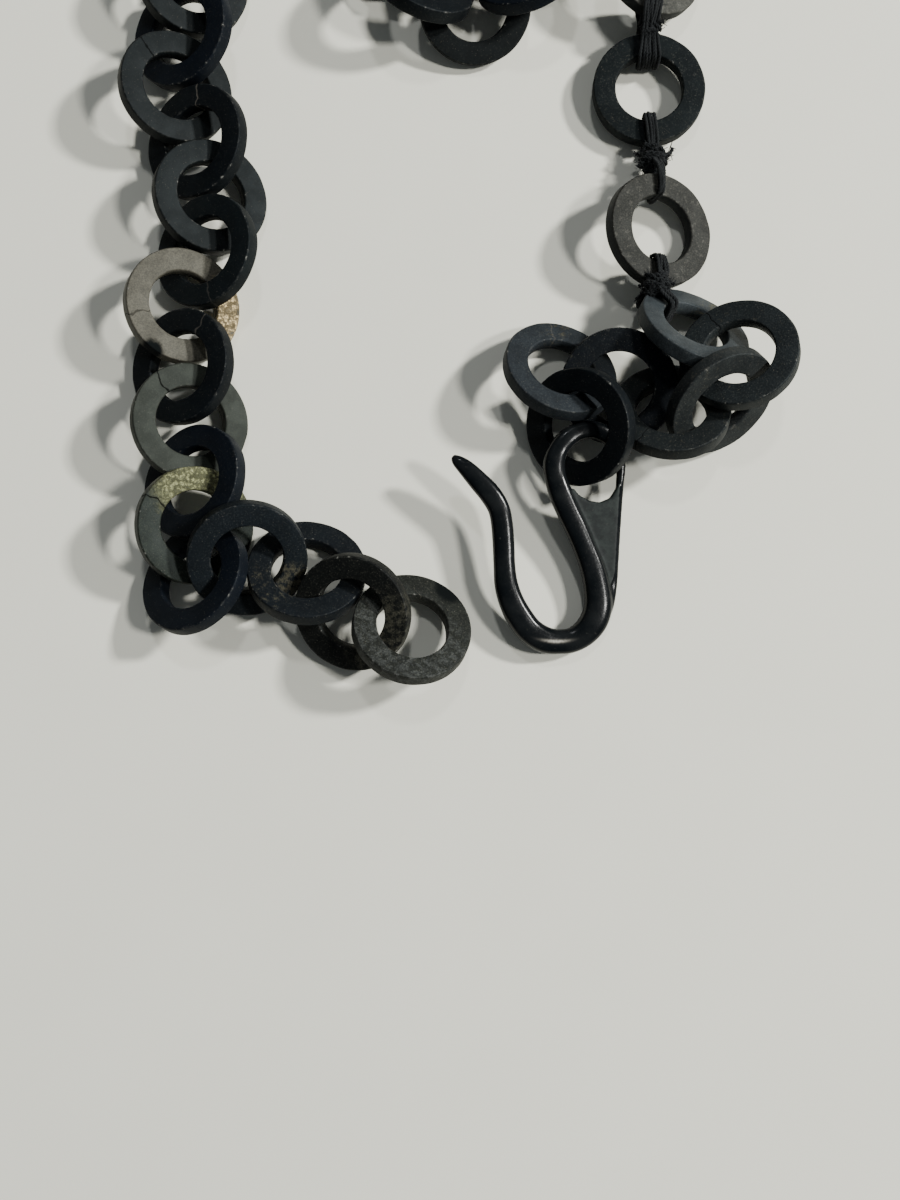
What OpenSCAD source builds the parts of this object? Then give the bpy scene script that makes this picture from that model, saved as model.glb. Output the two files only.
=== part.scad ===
// Mourning necklace: a long chain of flat black rings, unfastened and lying on a table.
// One end is a plain ring, the other a moulded hook. Three rings near the hook are held by tied thread.
// Seen from above, +Y runs from the two free ends towards the far bends of the chain. Lengths are in mm.

/* [Rings] */
// Outside diameter of every ring
ring_d = 14; // [13:0.1:14]
// Diameter of the hole in a ring
hole_d = 8.4; // [8.4:0.1:9]
// Thickness of a ring
ring_t = 1.9; // [1.5:0.1:1.9]
// Bevel along the four edges of a ring
ring_edge = 0.2; // [0.1:0.05:0.4]

/* [Far bends] */
// Tilt of the rings that lie round the two far bends, in degrees
bend_lean = 32; // [31:1:33]
// Height of the rings that rest on their neighbours in the far bends
bend_lift = 0.6; // [0.5:0.1:0.7]
// Radius of the left bend
left_bend_r = 16; // [15.8:0.1:16.2]
// Radius of the right bend
right_bend_r = 15; // [14.8:0.1:15.2]

/* [Hook] */
// Rise of the hook towards its tip, in mm for each mm to the left
rise_left = 0.15; // [0.1:0.01:0.16]
// Rise of the hook towards its eye, in mm for each mm along Y
rise_back = 0.14; // [0.1:0.01:0.15]
// Height of the bar's section as a share of its width
bar_flat = 0.85; // [0.7:0.05:0.9]
// Thickness of the sunk web between the hook's two bars
web_t = 1.2; // [0.8:0.1:1.4]

/* [Thread] */
// Thickness of a tie's thread
thread_t = 0.8; // [0.6:0.05:0.8]

/* [Hidden] */

// The table point under the middle of the necklace, in the plan that the tables below use.
middle = [4.24, 66.65];

// Colours of the rings, of the hook and of the thread
dull_gray = "#55595c";
deep_black = "#1d2024";
thread_black = "#15161a";

// A ring's row: x and y of its centre, its lean from flat in degrees, the compass side that is
// raised (0 is +X, 90 is +Y) and how far it lies above the table.
X = 0;
Y = 1;
LEAN = 2;
TOWARD = 3;
LIFT = 4;

// The plain ring at the free end
end_row = [-4.5, -4.0, 27, 245, 1.0];

// The left strand from beside the end ring up to the left bend
front_rows = [
    // x, y, lean, toward, lift
    [-11.4, -2.0, 28,  55, 0.7],
    [-16.9,  2.8, 28, 258, 0.0],
    [-23.7,  4.2, 32, 112, 1.2],
    [-30.0,  2.1, 32, 326, 0.0],
    [-30.2,  8.3, 28, 163, 0.3],
    [-30.4, 13.6, 29, 346, 0.0],
    [-31.2, 21.0, 26, 172, 0.0],
    [-32.2, 27.8, 26,   4, 0.0],
    [-32.4, 35.3, 27, 176, 0.1],
    [-29.6, 42.1, 27,   0, 0.2],
    [-29.4, 49.2, 26, 177, 0.0],
    [-31.1, 56.2, 27,   9, 0.0],
    [-33.9, 63.1, 28, 179, 0.2],
    [-33.2, 70.4, 27,   3, 0.2],
    [-32.2, 77.4, 26, 172, 0.2],
];

// The narrow turn between the two far bends
turn_rows = [
    // x, y, lean, toward, lift
    [-7.1, 83.4, 30,  18, 0.0],
    [-3.7, 76.5, 36, 228, 0.7],
    [ 3.1, 74.2, 28,  99, 0.0],
    [ 9.7, 78.0, 31, 314, 1.0],
    [12.3, 85.1, 30, 163, 0.0],
];

// The last linked ring before the tied stretch
last_row = [26.6, 87.0, 29, 354, 0.0];

// The three rings that thread holds together, from the far one to the near one
tied_rows = [
    // x, y, lean, toward, lift
    [25.2, 79.6, 25, 182, 0.5],
    [24.8, 63.9,  3,  90, 1.0],
    [25.5, 45.0, 23, 176, 0.0],
];

// The bunch beside the hook, from the lowest tie to the ring in the hook's eye
hook_rows = [
    // x, y, lean, toward, lift
    [29.1, 31.9, 42, 241, 0.2],
    [34.1, 28.2, 23, 323, 3.8],
    [31.9, 22.9, 56, 120, 0.1],
    [26.4, 22.1, 28, 276, 0.5],
    [20.3, 25.4, 21,  70, 0.4],
    [13.2, 27.2, 29, 238, 0.0],
    [15.4, 20.1, 40,  28, 0.0],
];

// Each far bend runs from one ring over a round peg to another: start, end, peg, peg radius, rings.
left_bend = [[-32.2, 77.4], [-6.9, 83.15], [-20.5, 122.0], left_bend_r, 17];
right_bend = [[12.4, 85.3], [26.4, 86.7], [30.0, 118.9], right_bend_r, 15];

// The hook's thick bar from its tip round the bend, up the stem and over the eye
bar_rows = [
    // x, y, half width
    [ 0.3, 16.2, 0.3],
    [ 0.8, 15.7, 0.7],
    [ 1.9, 14.8, 1.0],
    [ 3.3, 13.4, 1.2],
    [ 4.7, 11.9, 1.3],
    [ 5.7, 10.3, 1.3],
    [ 6.1,  8.5, 1.3],
    [ 6.3,  6.0, 1.3],
    [ 6.4,  3.6, 1.3],
    [ 6.6,  1.5, 1.4],
    [ 7.2, -0.5, 1.5],
    [ 8.2, -2.4, 1.6],
    [ 9.5, -4.0, 1.6],
    [11.2, -5.0, 1.6],
    [12.9, -5.2, 1.5],
    [14.5, -5.0, 1.5],
    [16.0, -4.1, 1.6],
    [17.1, -2.7, 1.7],
    [17.6, -1.0, 1.7],
    [17.5,  1.0, 1.6],
    [17.0,  3.3, 1.5],
    [16.1,  5.7, 1.4],
    [15.1,  8.0, 1.4],
    [14.0, 10.2, 1.4],
    [13.1, 12.2, 1.4],
    [12.5, 14.0, 1.3],
    [12.3, 15.7, 1.3],
    [12.8, 17.3, 1.2],
    [13.9, 18.7, 1.2],
    [15.5, 19.6, 1.1],
    [17.2, 19.8, 1.1],
    [18.7, 19.2, 1.0],
    [19.7, 18.0, 0.8],
];

// The thin bar from the eye straight back down to the stem
thin_rows = [
    // x, y, half width
    [19.3, 18.6, 0.8],
    [20.1, 17.3, 0.8],
    [20.4, 15.6, 0.6],
    [20.3, 13.6, 0.5],
    [20.1, 11.0, 0.5],
    [19.9,  8.0, 0.5],
    [19.7,  4.6, 0.5],
    [19.4,  1.6, 0.6],
    [18.8, -0.8, 0.8],
    [17.9, -2.4, 1.0],
];

// Outline of the sunk web, from the bottom of the eye's opening round the stem
web_outline = [
    [14.6, 12.9], [15.3, 12.1], [16.4, 11.5], [17.8, 11.3], [19.1, 11.9], [20.2, 13.6],
    [19.9,  8.0], [19.6,  3.0], [18.4, -0.5], [17.0,  3.3], [15.6,  6.9], [13.6, 11.0],
];

// A tie's row: a point of the band of thread, the compass way of the band's width (0 is +X) and
// how steeply that side drops, in degrees. The band is a closed loop through two holes.
tie_1_rows = [
    // x, y, z, way, drop
    [25.2, 76.2, 4.3, 0, 25],
    [25.7, 75.9, 5.5, 0, 25],
    [25.9, 74.0, 5.9, 0, 24],
    [25.7, 72.4, 5.8, 0, 20],
    [25.1, 71.1, 4.6, 0,  8],
    [24.8, 69.4, 4.2, 0,  2],
    [24.8, 67.7, 3.9, 0,  0],
    [24.8, 67.3, 2.5, 0,  0],
    [24.8, 67.7, 1.2, 0,  0],
    [24.8, 69.6, 1.0, 0,  0],
    [24.8, 71.2, 1.1, 0,  4],
    [24.7, 72.4, 2.5, 0, 18],
    [24.5, 74.0, 2.8, 0, 24],
    [24.6, 75.8, 3.1, 0, 25],
];
tie_2_rows = [
    // x, y, z, way, drop
    [24.8, 60.4, 2.2, 0,  0],
    [24.8, 60.0, 3.4, 0,  0],
    [24.9, 58.2, 3.6, 0,  0],
    [25.0, 56.6, 3.4, 0,  4],
    [25.3, 55.0, 3.3, 0, 12],
    [25.6, 53.6, 4.2, 0, 18],
    [25.9, 52.4, 5.1, 0, 22],
    [26.1, 50.6, 5.2, 0, 23],
    [26.0, 48.8, 4.9, 0, 23],
    [25.5, 48.5, 3.6, 0, 23],
    [25.0, 48.8, 2.3, 0, 23],
    [25.0, 50.6, 2.1, 0, 23],
    [25.1, 52.3, 2.1, 0, 20],
    [25.1, 54.4, 2.1, 0, 10],
    [25.0, 55.7, 1.2, 0,  4],
    [24.9, 56.9, 0.5, 0,  0],
    [24.8, 58.4, 0.5, 0,  0],
    [24.8, 59.8, 0.5, 0,  0],
    [24.8, 60.4, 1.2, 0,  0],
];
tie_3_rows = [
    // x, y, z, way, drop
    [25.5, 41.5, 3.4,  0, 23],
    [25.9, 41.2, 4.7,  0, 23],
    [26.0, 39.4, 4.9,  0, 23],
    [25.8, 37.8, 5.2, 10, 28],
    [25.6, 36.5, 5.8, 30, 36],
    [26.7, 35.2, 5.8, 35, 39],
    [26.4, 34.2, 4.7, 35, 39],
    [25.8, 33.5, 3.5, 35, 39],
    [24.4, 34.5, 3.3, 35, 39],
    [23.2, 36.0, 2.9, 30, 34],
    [24.2, 37.6, 2.0, 12, 28],
    [24.9, 39.4, 1.8,  0, 23],
    [25.0, 41.2, 2.1,  0, 23],
];

// Half the width of each tie's band, and each knot's centre and radius
tie_half_widths = [1.4, 0.8, 0.8];
knot_2 = [[25.2, 54.7, 2.7], 1.6];
knot_3 = [[25.5, 37.3, 6.0], 1.1];

// Height of a ring's centre when it lies on the table with this lean
function rest(lean) = max(
    ring_d / 2 * sin(lean) + (ring_t / 2 - ring_edge) * cos(lean),
    (ring_d / 2 - ring_edge) * sin(lean) + ring_t / 2 * cos(lean));

// Height of the middle of the hook's bar over a point of the plan
function hook_z(p) = 1.8 - rise_left * (p[X] - 12.8) + rise_back * (p[Y] + 5);

// The direction square to the hook's plane
hook_up = let (n = [rise_left, -rise_back, 1]) n / norm(n);

// Compass angle of a plan vector
function compass(v) = atan2(v[Y], v[X]);
function plan_unit(a) = [cos(a), sin(a)];

// A bend's leg, given the distance from its foot to the peg's centre
function leg(reach, r) = sqrt(reach * reach - r * r);

// Where a bend has got to after a distance s, as x, y and heading
function bend_at(s, start, end, peg, r) =
    let (up = compass(peg - start) + asin(r / norm(peg - start)),
         down = compass(peg - end) - asin(r / norm(peg - end)) + 180,
         leg_1 = leg(norm(peg - start), r),
         leg_2 = leg(norm(peg - end), r),
         arc = r * bend_turn(start, end, peg, r) * PI / 180,
         total = leg_1 + arc + leg_2)
    s < leg_1 ? concat(start + s * plan_unit(up), up) :
    s < leg_1 + arc ?
        let (heading = up - (s - leg_1) / r * 180 / PI)
        concat(peg + r * plan_unit(heading + 90), heading) :
    concat(end - (total - s) * plan_unit(down), down);

// How far round its peg a bend turns, in degrees
function bend_turn(start, end, peg, r) =
    let (up = compass(peg - start) + asin(r / norm(peg - start)),
         down = compass(peg - end) - asin(r / norm(peg - end)) + 180)
    (up - down + 720) % 360;

// Length of a whole bend
function bend_length(start, end, peg, r) =
    leg(norm(peg - start), r) + leg(norm(peg - end), r)
    + r * bend_turn(start, end, peg, r) * PI / 180;

// Rows of the rings round a bend: equal steps, with the right and the left side raised in turn
function bend_rows(b) =
    let (start = b[0], end = b[1], peg = b[2], r = b[3], count = b[4],
         pitch = bend_length(start, end, peg, r) / (count + 1))
    [for (i = [1 : count])
        let (at = bend_at(i * pitch, start, end, peg, r), left = i % 2 == 0)
        [at[0], at[1], bend_lean, at[2] + (left ? 90 : -90), left ? bend_lift : 0]];

// Faces of a tube whose rings of points have a given number of sides
function tube_faces(rings, sides, closed) =
    [for (i = [0 : (closed ? rings - 1 : rings - 2)], k = [0 : sides - 1])
        let (a = i * sides, b = (i + 1) % rings * sides, n = (k + 1) % sides)
        [a + k, b + k, b + n, a + n]];

module plain_ring() {
    bore_r = hole_d / 2;
    outer_r = ring_d / 2;
    rotate_extrude($fn = 48)
        polygon([
            [bore_r, ring_t / 2 - ring_edge],
            [bore_r, ring_edge - ring_t / 2],
            [bore_r + ring_edge, -ring_t / 2],
            [outer_r - ring_edge, -ring_t / 2],
            [outer_r, ring_edge - ring_t / 2],
            [outer_r, ring_t / 2 - ring_edge],
            [outer_r - ring_edge, ring_t / 2],
            [bore_r + ring_edge, ring_t / 2],
        ]);
}

// One ring, laid as its row says
module laid_ring(row) {
    translate([row[X] - middle[X], row[Y] - middle[Y], rest(row[LEAN]) + row[LIFT]])
        rotate([0, -row[LEAN], row[TOWARD]])
            plain_ring();
}

// A bar of flattened round section in the hook's plane, through rows of x, y and half width
module hook_bar(rows, sides = 12) {
    last = len(rows) - 1;
    centre = [for (p = rows) [p[0] - middle[X], p[1] - middle[Y], hook_z(p)]];
    points = [for (i = [0 : last])
        let (along = centre[min(i + 1, last)] - centre[max(i - 1, 0)],
             side = cross(hook_up, along) / norm(cross(hook_up, along)))
        for (k = [0 : sides - 1])
            let (a = 360 * k / sides)
            centre[i] + rows[i][2] * (cos(a) * side + bar_flat * sin(a) * hook_up)];
    ends = [[for (k = [0 : sides - 1]) k], [for (k = [sides - 1 : -1 : 0]) last * sides + k]];
    polyhedron(points, concat(tube_faces(last + 1, sides, false), ends), convexity = 6);
}

// The sunk plate between the hook's bars
module hook_web() {
    count = len(web_outline);
    points = [for (side = [-1, 1], p = web_outline)
        [p[0] - middle[X], p[1] - middle[Y], hook_z(p)] + side * web_t / 2 * hook_up];
    walls = [for (k = [0 : count - 1]) let (n = (k + 1) % count) [k, n, count + n, count + k]];
    polyhedron(points, concat(walls,
        [[for (k = [count - 1 : -1 : 0]) k], [for (k = [0 : count - 1]) count + k]]), convexity = 6);
}

// A flat band of thread that runs in a closed loop through its rows
module thread_band(rows, half_width, sides = 8) {
    count = len(rows);
    centre = [for (p = rows) [p[0] - middle[X], p[1] - middle[Y], p[2]]];
    points = [for (i = [0 : count - 1])
        let (along = centre[(i + 1) % count] - centre[(i + count - 1) % count],
             wide = [cos(rows[i][3]) * cos(rows[i][4]), sin(rows[i][3]) * cos(rows[i][4]), -sin(rows[i][4])],
             thick = cross(along, wide) / norm(cross(along, wide)))
        for (k = [0 : sides - 1])
            let (a = 360 * (k + 0.5) / sides)
            centre[i] + half_width * cos(a) * wide + thread_t / 2 * sin(a) * thick];
    polyhedron(points, tube_faces(count, sides, true), convexity = 6);
}

module knot(k) {
    translate([k[0][0] - middle[X], k[0][1] - middle[Y], k[0][2]])
        sphere(k[1], $fn = 12);
}

module end_ring() {
    color(dull_gray) laid_ring(end_row);
}

// The visible left strand
module front_chain() {
    color(deep_black)
        for (row = front_rows)
            laid_ring(row);
}

// The far bends and the narrow turn between them
module back_chain() {
    color(deep_black)
        for (row = concat(bend_rows(left_bend), turn_rows, bend_rows(right_bend), [last_row]))
            laid_ring(row);
}

module tied_ring(i) {
    color(dull_gray) laid_ring(tied_rows[i - 1]);
}

module hook_ring(i) {
    color(i == 1 ? dull_gray : deep_black) laid_ring(hook_rows[i - 1]);
}

module hook() {
    color(deep_black)
        union() {
            hook_bar(bar_rows);
            hook_bar(thin_rows, 8);
            hook_web();
        }
}

module thread_tie_1() {
    color(thread_black) thread_band(tie_1_rows, tie_half_widths[0]);
}

module thread_tie_2() {
    color(thread_black)
        union() {
            thread_band(tie_2_rows, tie_half_widths[1]);
            knot(knot_2);
        }
}

module thread_tie_3() {
    color(thread_black)
        union() {
            thread_band(tie_3_rows, tie_half_widths[2]);
            knot(knot_3);
        }
}

end_ring();
front_chain();
back_chain();
tied_ring(1);  // tied_ring_1
tied_ring(2);  // tied_ring_2
tied_ring(3);  // tied_ring_3
hook_ring(1);  // hook_ring_1
hook_ring(2);  // hook_ring_2
hook_ring(3);  // hook_ring_3
hook_ring(4);  // hook_ring_4
hook_ring(5);  // hook_ring_5
hook_ring(6);  // hook_ring_6
hook_ring(7);  // hook_ring_7
hook();
thread_tie_1();
thread_tie_2();
thread_tie_3();
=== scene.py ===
"""Mourning necklace: the looks of its rings, its moulded hook and its thread ties."""
import math

import bmesh
import bpy
import numpy as np
from mathutils import Matrix, Vector


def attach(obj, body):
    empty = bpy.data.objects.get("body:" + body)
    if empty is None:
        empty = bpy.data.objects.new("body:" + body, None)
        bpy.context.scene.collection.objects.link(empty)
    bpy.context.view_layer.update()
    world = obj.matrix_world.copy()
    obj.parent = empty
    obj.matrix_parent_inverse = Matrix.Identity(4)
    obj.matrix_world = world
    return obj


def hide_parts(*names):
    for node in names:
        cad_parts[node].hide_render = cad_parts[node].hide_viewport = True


MM = 0.001
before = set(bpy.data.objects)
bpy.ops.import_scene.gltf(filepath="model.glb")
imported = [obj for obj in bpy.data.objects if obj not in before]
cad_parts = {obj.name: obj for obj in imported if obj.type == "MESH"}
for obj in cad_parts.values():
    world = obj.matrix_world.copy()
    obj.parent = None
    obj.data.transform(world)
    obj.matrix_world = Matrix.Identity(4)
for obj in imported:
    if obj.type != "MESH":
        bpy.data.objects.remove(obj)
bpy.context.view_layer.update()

# The plan's origin on the table, seen from the middle of the necklace, in mm. The tables below give places
# in the plan.
PLAN = Vector((-4.24, -66.65, 0.0))
# A ring's diameter, hole, thickness and bevel, in mm, and the radius of the middle of its face
RING_D, HOLE_D, RING_T, RING_EDGE = 14.0, 8.4, 1.9, 0.2
MIDDLE_R = (RING_D + HOLE_D) / 4
# Way in which a ring's seed shifts its noise, and the seed's steps from ring to ring and from node to node
SEED_WAY = (1.7, 3.1, 5.3)
RING_SEED_STEP, NODE_SEED_STEP = 1.37, 11.3


# Graph helpers
class Graph:
    """Adds nodes to a tree, with their inputs given by name or number."""

    def __init__(self, tree):
        self.tree = tree

    def add(self, kind, inputs=None, **settings):
        node = self.tree.nodes.new(kind)
        for key, value in settings.items():
            setattr(node, key, value)
        self.feed_all(node, inputs or {})
        return node

    def feed_all(self, node, inputs):
        for key, value in inputs.items():
            self.feed(node.inputs[key], value)

    def feed(self, socket, value):
        """Links a socket, or a node's first output, to the socket, or sets its value."""
        if isinstance(value, bpy.types.NodeSocket):
            self.tree.links.new(value, socket)
        elif isinstance(value, bpy.types.Node):
            self.tree.links.new(value.outputs[0], socket)
        else:
            socket.default_value = value

    def math(self, operation, *values, clamp=False):
        node = self.add("ShaderNodeMath", dict(enumerate(values)), operation=operation, use_clamp=clamp)
        return node.outputs[0]

    def plus(self, one, other):
        return self.math("ADD", one, other)

    def minus(self, one, other):
        return self.math("SUBTRACT", one, other)

    def times(self, first, *others):
        for other in others:
            first = self.math("MULTIPLY", first, other)
        return first

    def vector(self, operation, *values, result="Vector"):
        node = self.add("ShaderNodeVectorMath", dict(enumerate(values)), operation=operation)
        return node.outputs[result]

    def length(self, vector):
        return self.vector("LENGTH", vector, result="Value")

    def scale(self, vector, factor):
        node = self.add("ShaderNodeVectorMath", {0: vector, "Scale": factor}, operation="SCALE")
        return node.outputs["Vector"]

    def split(self, vector):
        return self.add("ShaderNodeSeparateXYZ", {0: vector}).outputs

    def join(self, x, y=0.0, z=0.0):
        return self.add("ShaderNodeCombineXYZ", {0: x, 1: y, 2: z}).outputs[0]

    def turned(self, vector, angle):
        """The vector turned round the Z axis."""
        node = self.add("ShaderNodeVectorRotate", {"Vector": vector, "Angle": angle}, rotation_type="Z_AXIS")
        return node.outputs[0]

    def ramp(self, value, low, high, to_low=0.0, to_high=1.0):
        """Value between low and high, eased and brought to a new range."""
        node = self.add("ShaderNodeMapRange", {"Value": value, "From Min": low, "From Max": high,
                                               "To Min": to_low, "To Max": to_high},
                        interpolation_type="SMOOTHSTEP")
        return node.outputs["Result"]

    def mix(self, share, one, other):
        """Colour that goes from one to the other as the share goes from 0 to 1."""
        node = self.add("ShaderNodeMix", {"Factor": share}, data_type="RGBA")
        for socket, value in ((node.inputs[6], one), (node.inputs[7], other)):
            self.feed(socket, (*value, 1.0) if isinstance(value, tuple) else value)
        return node.outputs[2]

    def noise(self, at, scale, detail=3.0, rough=0.5, result="Fac"):
        return self.add("ShaderNodeTexNoise", {"Vector": at, "Scale": scale, "Detail": detail,
                                               "Roughness": rough}).outputs[result]

    def seeded(self, at, seed):
        """The place, shifted by a ring's seed."""
        return self.vector("ADD", at, self.scale(self.join(*SEED_WAY), seed))

    def bump(self, height, strength, distance):
        return self.add("ShaderNodeBump", {"Strength": strength, "Distance": distance,
                                           "Height": height}).outputs[0]

    def attribute(self, name, output="Fac"):
        return self.add("ShaderNodeAttribute", attribute_name=name).outputs[output]

    def stored(self, name, kind):
        """A point's stored value, in a geometry tree."""
        node = self.add("GeometryNodeInputNamedAttribute", {"Name": name}, data_type=kind)
        return node.outputs["Attribute"]

    def place_mm(self):
        """The point on the piece, in mm."""
        return self.scale(self.add("ShaderNodeTexCoord").outputs["Object"], 1 / MM)


def group(kind, name, inputs, outputs):
    """A node group with rows of sockets (name, kind and perhaps value), its graph and its two ends."""
    tree = bpy.data.node_groups.new(name, kind)
    for way, sockets in (("INPUT", inputs), ("OUTPUT", outputs)):
        for socket_name, socket_kind, *value in sockets:
            socket = tree.interface.new_socket(socket_name, in_out=way,
                                               socket_type="NodeSocket" + socket_kind)
            if value:
                socket.default_value = value[0]
    graph = Graph(tree)
    return tree, graph, graph.add("NodeGroupInput").outputs, graph.add("NodeGroupOutput").inputs


def material(name):
    """A material with one Principled shader, and its graph."""
    made = bpy.data.materials.new(name)
    made.use_nodes = True
    return made, Graph(made.node_tree), made.node_tree.nodes["Principled BSDF"]


def mesh_piece(name, verts, faces, smooth=True):
    mesh = bpy.data.meshes.new(name)
    mesh.from_pydata([tuple(v) for v in verts], [], faces)
    piece = bpy.data.objects.new(name, mesh)
    bpy.context.scene.collection.objects.link(piece)
    for polygon in mesh.polygons:
        polygon.use_smooth = smooth
    return piece


def evaluated_mesh(piece):
    """A plain mesh of the piece with its modifiers applied."""
    return bpy.data.meshes.new_from_object(piece.evaluated_get(bpy.context.evaluated_depsgraph_get()))


def settle(piece):
    """Applies a piece's modifiers."""
    old, ready = piece.data, evaluated_mesh(piece)
    piece.modifiers.clear()
    piece.data = ready
    bpy.data.meshes.remove(old)
    ready.name = piece.name


def add_tree(piece, tree, values):
    """Adds a Geometry Nodes modifier, with its inputs given by their names."""
    modifier = piece.modifiers.new(tree.name, "NODES")
    modifier.node_group = tree
    for item in tree.interface.items_tree:
        if item.item_type == "SOCKET" and item.in_out == "INPUT" and item.name in values:
            modifier[item.identifier] = values[item.name]


# Camera, floor and light
# The camera's lean from straight above, its distance from the plan's origin, and its lens and sensor in mm
CAMERA_LEAN = math.radians(7)
CAMERA_FAR, LENS, SENSOR = 157.0, 39.0, 36.0
# Half the table's width, in metres
TABLE_HALF = 1.5
# Point that the lights shine on, 30 mm behind the plan's origin
LIT_POINT = MM * (PLAN + Vector((0, 30, 0)))
# Each light's compass turn and height in degrees, distance and size in metres, watts and colour
LIGHTS = {
    "window": (17, 38, 1.0, 0.085, 13.2, (1.0, 0.995, 0.965)),
    "second_window": (-10, 50, 1.0, 0.10, 6.4, (1.0, 0.995, 0.965)),
    "sky_window": (86, 62, 1.1, 0.08, 2.0, (0.95, 0.97, 1.0)),
}


def make_camera():
    camera = bpy.data.objects.new("camera", bpy.data.cameras.new("camera"))
    bpy.context.scene.collection.objects.link(camera)
    camera.data.sensor_width, camera.data.lens = SENSOR, LENS
    camera.data.clip_start, camera.data.clip_end = 0.01, 10.0
    camera.location = MM * (PLAN + CAMERA_FAR * Vector((0, -math.sin(CAMERA_LEAN), math.cos(CAMERA_LEAN))))
    camera.rotation_euler = (CAMERA_LEAN, 0, 0)
    bpy.context.scene.camera = camera


def make_floor():
    made, g, shader = material("pale_table")
    at = g.add("ShaderNodeTexCoord").outputs["Object"]
    colour = g.mix(g.noise(at, 60.0), (0.80, 0.795, 0.69), (0.84, 0.835, 0.73))
    g.feed_all(shader, {"Base Color": colour, "Roughness": 0.9})
    corners = [(TABLE_HALF * x, TABLE_HALF * y, 0) for x, y in ((-1, -1), (1, -1), (1, 1), (-1, 1))]
    floor = mesh_piece("table_top", corners, [(0, 1, 2, 3)], smooth=False)
    floor.data.materials.append(made)


def make_lights():
    """Square soft lights that shine on the necklace from above, and the room's faint light."""
    for name, (turn, height, distance, size, watts, colour) in LIGHTS.items():
        light = bpy.data.objects.new(name, bpy.data.lights.new(name, "AREA"))
        bpy.context.scene.collection.objects.link(light)
        light.data.shape = "SQUARE"
        light.data.size = size
        light.data.energy = watts
        light.data.color = colour
        turn, height = math.radians(turn), math.radians(height)
        way = Vector((math.cos(height) * math.cos(turn), math.cos(height) * math.sin(turn),
                      math.sin(height)))
        light.location = LIT_POINT + distance * way
        light.rotation_euler = way.to_track_quat("Z", "Y").to_euler()
    room = bpy.data.worlds.new("room")
    room.use_nodes = True
    Graph(room.node_tree).feed_all(room.node_tree.nodes["Background"],
                                   {"Color": (0.86, 0.93, 1.0, 1), "Strength": 0.13})
    bpy.context.scene.world = room


# Shader groups, whose places and lengths are in mm and whose noise scales are in waves per mm
ON_RING = [("At", "Vector"), ("Noise At", "Vector")]
MASK = [("Mask", "Float")]


def make_ring_place():
    """Where a point is on its own ring, how far from a sharp edge, and whether it is on a side wall."""
    tree, g, ins, outs = group("ShaderNodeTree", "Place on ring", [],
                               ON_RING + [("Edge", "Float"), ("Wall", "Float")])
    at = g.attribute("ring_at", "Vector")
    parts = g.split(at)
    radius = g.length(g.join(parts[0], parts[1]))
    from_rims = g.math("MINIMUM", g.minus(RING_D / 2, radius), g.minus(radius, HOLE_D / 2))
    from_faces = g.minus(RING_T / 2, g.math("ABSOLUTE", parts[2]))
    g.feed(outs["At"], at)
    g.feed(outs["Noise At"], g.seeded(at, g.attribute("ring_seed")))
    g.feed(outs["Edge"], g.math("MAXIMUM", from_rims, from_faces))
    g.feed(outs["Wall"], g.ramp(from_faces, 0.12, 0.3))
    return tree


def make_edge_wear():
    """Mask of edges that are rubbed, broken up by noise."""
    tree, g, ins, outs = group("ShaderNodeTree", "Edge wear",
                               [("Edge", "Float", 0.5), ("Noise At", "Vector"), ("Width", "Float", 0.25),
                                ("Scale", "Float", 1.6)], MASK)
    broken = g.ramp(g.noise(ins["Noise At"], ins["Scale"], 4.0, 0.6), 0.35, 0.75, 0.0, 2.0)
    reach = g.math("MAXIMUM", g.times(ins["Width"], broken), 0.001)
    g.feed(outs["Mask"], g.ramp(g.math("DIVIDE", ins["Edge"], reach), 1.0, 0.3))
    return tree


def make_grain():
    """Grain, slow clouding, pores, hammered dimples (also used for painted glints) and scratches of old hard
    rubber.
    """
    names = ("Fine", "Cloud", "Pores", "Dimples", "Scratch")
    tree, g, ins, outs = group("ShaderNodeTree", "Rubber grain", [("Noise At", "Vector")],
                               [(name, "Float") for name in names])
    at = ins["Noise At"]
    g.feed(outs["Fine"], g.noise(at, 5.0, 4.0, 0.7))
    g.feed(outs["Cloud"], g.ramp(g.noise(at, 0.4, 5.0, 0.62), 0.32, 0.68))
    pores = g.add("ShaderNodeTexVoronoi", {"Vector": at, "Scale": 3.4}).outputs["Distance"]
    here_and_there = g.ramp(g.noise(at, 1.3, 2.0), 0.46, 0.60)
    g.feed(outs["Pores"], g.times(g.ramp(pores, 0.2, 0.05), here_and_there))
    sway = g.vector("SUBTRACT", g.noise(at, 2.0, 4.0, 0.65, "Color"), (0.5, 0.5, 0.5))
    dimples = g.add("ShaderNodeTexVoronoi", {"Vector": g.vector("ADD", at, g.scale(sway, 1.1)), "Scale": 2.3,
                                             "Smoothness": 0.3}, feature="SMOOTH_F1").outputs["Distance"]
    g.feed(outs["Dimples"], dimples)
    streak = g.vector("MULTIPLY", g.turned(at, 0.7), (0.25, 7.0, 0.25))
    g.feed(outs["Scratch"], g.ramp(g.noise(streak, 1.2, 3.0, 0.7), 0.66, 0.74))
    return tree


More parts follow.
